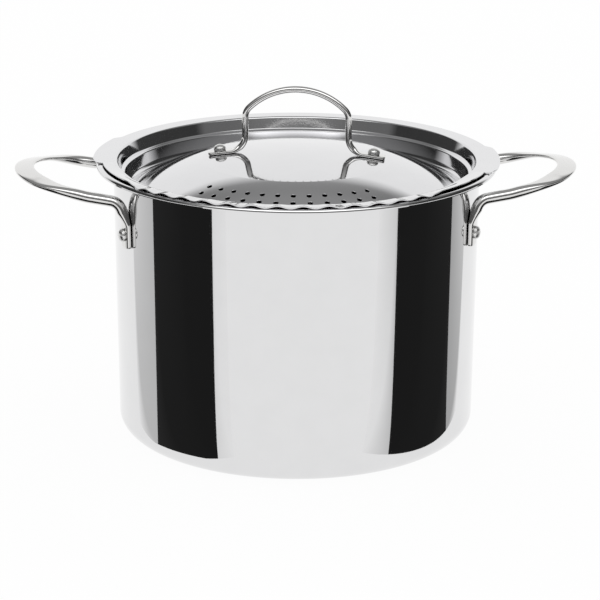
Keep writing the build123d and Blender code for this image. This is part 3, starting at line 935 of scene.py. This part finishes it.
# Camera and stage
CAMERA_TURN = 2.6
CAMERA_RANGE = 1500.0
CAMERA_RISE = 13.849
CAMERA_PITCH = 17.444
CAMERA_ROLL = -0.005
FOCAL_PIXELS = 2267.15
AXIS_PIXEL = 295.834
IMAGE_PIXELS = 600
SOFTBOX_LEVEL = 2.2
ZENITH_LEVEL = 0.35
FLOOR_HALF_SIZE = 6000.0
FLOOR_WHITE_SHARE = 0.95

# Black cards on the floor in front, as the camera sees them. Each has a near and a far end, and a shade
# that fades out beside it. Stops are shares across the card with their levels.
CARD_HEIGHT = 0.6
LEFT_CARD_INNER = ((-75, -130), (-850, -700))
LEFT_CARD_OUTER = ((-118, -74), (-1000, 90))
RIGHT_CARD_INNER = ((92, -121), (900, -484))
RIGHT_CARD_OUTER = ((141, -48), (900, 280))
CARD_SHADES = ((0.0, 0.013), (0.5, 0.015), (1.0, 0.026))
LEFT_CARD_STOPS = ((-0.25, 0.97), (0.0, 0.86)) + CARD_SHADES + ((1.0, 0.60), (1.7, 0.97))
RIGHT_CARD_STOPS = ((-0.35, 0.97), (0.0, 0.66)) + CARD_SHADES + ((1.0, 0.45), (1.5, 0.97))


def to_part(x, y):
    """Floor place seen from the camera's side, in the part's frame."""
    a = radians(CAMERA_TURN)
    return x * cos(a) + y * sin(a), -x * sin(a) + y * cos(a)


def make_camera():
    data = bpy.data.cameras.new("camera")
    camera = bpy.data.objects.new("camera", data)
    bpy.context.scene.collection.objects.link(camera)
    data.sensor_width = 36.0
    data.sensor_fit = "HORIZONTAL"
    data.lens = FOCAL_PIXELS / IMAGE_PIXELS * data.sensor_width
    rise, pitch = radians(CAMERA_RISE), radians(CAMERA_PITCH)
    place = Vector((0, -CAMERA_RANGE * cos(rise), pot_height + CAMERA_RANGE * sin(rise)))
    yaw = -(IMAGE_PIXELS / 2 - AXIS_PIXEL) / FOCAL_PIXELS
    matrix = (Matrix.Rotation(yaw, 4, "Z") @ Matrix.Rotation(pi / 2 - pitch, 4, "X")
              @ Matrix.Rotation(-CAMERA_ROLL, 4, "Z"))
    matrix = Matrix.Translation(place * MM) @ matrix
    camera.matrix_world = Matrix.Rotation(-radians(CAMERA_TURN), 4, "Z") @ matrix
    data.clip_start, data.clip_end = 0.05, 50
    bpy.context.scene.camera = camera


def reflection_only(obj):
    obj.visible_camera = False
    obj.visible_diffuse = False
    obj.visible_transmission = False
    obj.visible_volume_scatter = False
    obj.visible_shadow = False


def card(name, inner, outer, stops):
    """Card lying on the floor between two straight edges, seen only in reflections. stops are its places
    and levels across."""
    verts, shades, faces = [], [], []
    for (ax, ay), (bx, by) in zip(inner, outer):
        for share, level in stops:
            x, y = to_part(ax + (bx - ax) * share, ay + (by - ay) * share)
            verts.append((x * MM, y * MM, CARD_HEIGHT * MM))
            shades.append(level)
    count = len(stops)
    for i in range(count - 1):
        if stops[i][0] < stops[i + 1][0]:
            faces.append((i, i + 1, i + 1 + count, i + count))
    mesh = bpy.data.meshes.new(name)
    mesh.from_pydata(verts, [], faces)
    layer = mesh.color_attributes.new("shade", "FLOAT_COLOR", "POINT")
    for item, level in zip(layer.data, shades):
        item.color = (level, level, level, 1)
    obj = bpy.data.objects.new(name, mesh)
    bpy.context.scene.collection.objects.link(obj)
    mesh.materials.append(glow(name + "_glow", "shade"))
    reflection_only(obj)
    return obj


def make_stage():
    size = FLOOR_HALF_SIZE * MM
    mesh = bpy.data.meshes.new("floor")
    mesh.from_pydata([(-size, -size, 0), (size, -size, 0), (size, size, 0), (-size, size, 0)], [],
                     [(0, 1, 2, 3)])
    floor = bpy.data.objects.new("floor", mesh)
    bpy.context.scene.collection.objects.link(floor)
    mesh.materials.append(floor_material())
    card("card_left", LEFT_CARD_INNER, LEFT_CARD_OUTER, LEFT_CARD_STOPS)
    card("card_right", RIGHT_CARD_INNER, RIGHT_CARD_OUTER, RIGHT_CARD_STOPS)
    make_world()


def ramp(nodes, links, source, stops, peak=1.0):
    """Grey ramp over a value, from places between 0 and 1. Levels come out as shares of the peak."""
    node = nodes.new("ShaderNodeValToRGB")
    elements = node.color_ramp.elements
    while len(elements) < len(stops):
        elements.new(0.5)
    for element, (place, level) in zip(elements, stops):
        element.position = place
        element.color = (level / peak, level / peak, level / peak, 1)
    links.new(source, node.inputs[0])
    return node.outputs["Color"]


def background(nodes, level):
    node = nodes.new("ShaderNodeBackground")
    node.inputs["Color"].default_value = (level, level, level, 1)
    return node


def make_world():
    """White for the camera, plain soft light, and the studio that the polished steel mirrors: a white
    backdrop low behind, a grey ceiling, a softbox high in front, and dark sides."""
    world = bpy.data.worlds.new("studio")
    bpy.context.scene.world = world
    world.use_nodes = True
    nodes, links = world.node_tree.nodes, world.node_tree.links
    nodes.clear()
    out = nodes.new("ShaderNodeOutputWorld")
    path = nodes.new("ShaderNodeLightPath")
    coord = nodes.new("ShaderNodeTexCoord")
    split = nodes.new("ShaderNodeSeparateXYZ")
    links.new(coord.outputs["Generated"], split.inputs[0])
    rise = split.outputs["Z"]
    behind = nodes.new("ShaderNodeVectorMath")
    behind.operation = "DOT_PRODUCT"
    behind.inputs[1].default_value = (sin(radians(CAMERA_TURN)), cos(radians(CAMERA_TURN)), 0)
    links.new(coord.outputs["Generated"], behind.inputs[0])
    shift = nodes.new("ShaderNodeMath")
    shift.operation = "MULTIPLY_ADD"
    shift.inputs[1].default_value = 0.5
    shift.inputs[2].default_value = 0.5
    links.new(behind.outputs["Value"], shift.inputs[0])
    place = shift.outputs[0]
    peak = SOFTBOX_LEVEL
    back = ramp(nodes, links, rise, [(0.0, 1.0), (0.57, 1.0), (0.67, 0.33), (1.0, ZENITH_LEVEL)], peak)
    side = ramp(nodes, links, rise, [(0.0, 0.05), (0.5, 0.035), (0.8, 0.30), (1.0, ZENITH_LEVEL)], peak)
    front = ramp(nodes, links, rise, [(0.0, 0.10), (0.35, 0.16), (0.52, 0.62), (0.60, 0.30), (0.66, peak),
                                      (0.86, peak), (0.92, 0.3), (1.0, ZENITH_LEVEL)], peak)
    to_back = ramp(nodes, links, place, [(0.0, 0), (0.80, 0), (0.87, 1), (1.0, 1)])
    to_front = ramp(nodes, links, place, [(0.0, 1), (0.30, 1), (0.35, 0), (1.0, 0)])
    colours = [side]
    for share, colour in ((to_back, back), (to_front, front)):
        mix = nodes.new("ShaderNodeMix")
        mix.data_type = "RGBA"
        links.new(share, mix.inputs["Factor"])
        links.new(colours[-1], mix.inputs["A"])
        links.new(colour, mix.inputs["B"])
        colours.append(mix.outputs["Result"])
    seen = background(nodes, 1)
    seen.inputs["Strength"].default_value = peak
    links.new(colours[-1], seen.inputs["Color"])
    shader = background(nodes, 1.0).outputs[0]
    for ray, source in (("Is Glossy Ray", seen), ("Is Camera Ray", background(nodes, 1))):
        mix = nodes.new("ShaderNodeMixShader")
        links.new(path.outputs[ray], mix.inputs[0])
        links.new(shader, mix.inputs[1])
        links.new(source.outputs[0], mix.inputs[2])
        shader = mix.outputs[0]
    links.new(shader, out.inputs[0])


# The object
mirror_steel = steel("steel_mirror", (0.76, 0.76, 0.765), 0.03, 0.3, 0.02, 0.02)
rod_steel = steel("steel_rod", (0.74, 0.735, 0.725), 0.09, 0.25, 0.05, 0.02)
rivet_steel = steel("steel_rivet", (0.80, 0.80, 0.79), 0.32, 0.25, 0.05, 0.02)
lid_steel = steel("steel_lid", (0.73, 0.73, 0.74), 0.07, 0.3, 0.08, 0.03)
base_steel = steel("steel_base", (0.66, 0.66, 0.665), 0.28, 0.25, 0.3, 0.03)
aluminium = steel("aluminium_core", (0.72, 0.73, 0.74), 0.35, 0.2, 0.2, 0.02)


def dress(piece, node, body, material):
    piece.data.materials.clear()
    piece.data.materials.append(material)
    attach(piece, body)
    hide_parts(node)


dress(make_pot_body(), "pot_body", "pot", mirror_steel)
dress(make_base_cap(), "base_cap", "pot", base_steel)
for side_name, side in (("left", -1), ("right", 1)):
    dress(make_side_handle(side_name + "_handle_rod", side), side_name + "_handle", "pot",
          rod_steel)
    for leg_name, leg in (("front", -1), ("rear", 1)):
        dress(make_handle_rivet(f"{side_name}_handle_{leg_name}_rivet_head", side, leg),
              f"{side_name}_handle_{leg_name}_rivet", "pot", rivet_steel)
    dress(make_lid_rivet(f"lid_handle_{side_name}_rivet_head", side), f"lid_handle_{side_name}_rivet",
          "lid", rivet_steel)
dress(make_lid(), "straining_lid", "lid", lid_steel)
dress(make_lid_handle(), "lid_handle", "lid", rod_steel)
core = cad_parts["base_core"]
core.data.materials.clear()
core.data.materials.append(aluminium)

make_camera()
make_stage()
bpy.context.scene.view_settings.view_transform = "Standard"
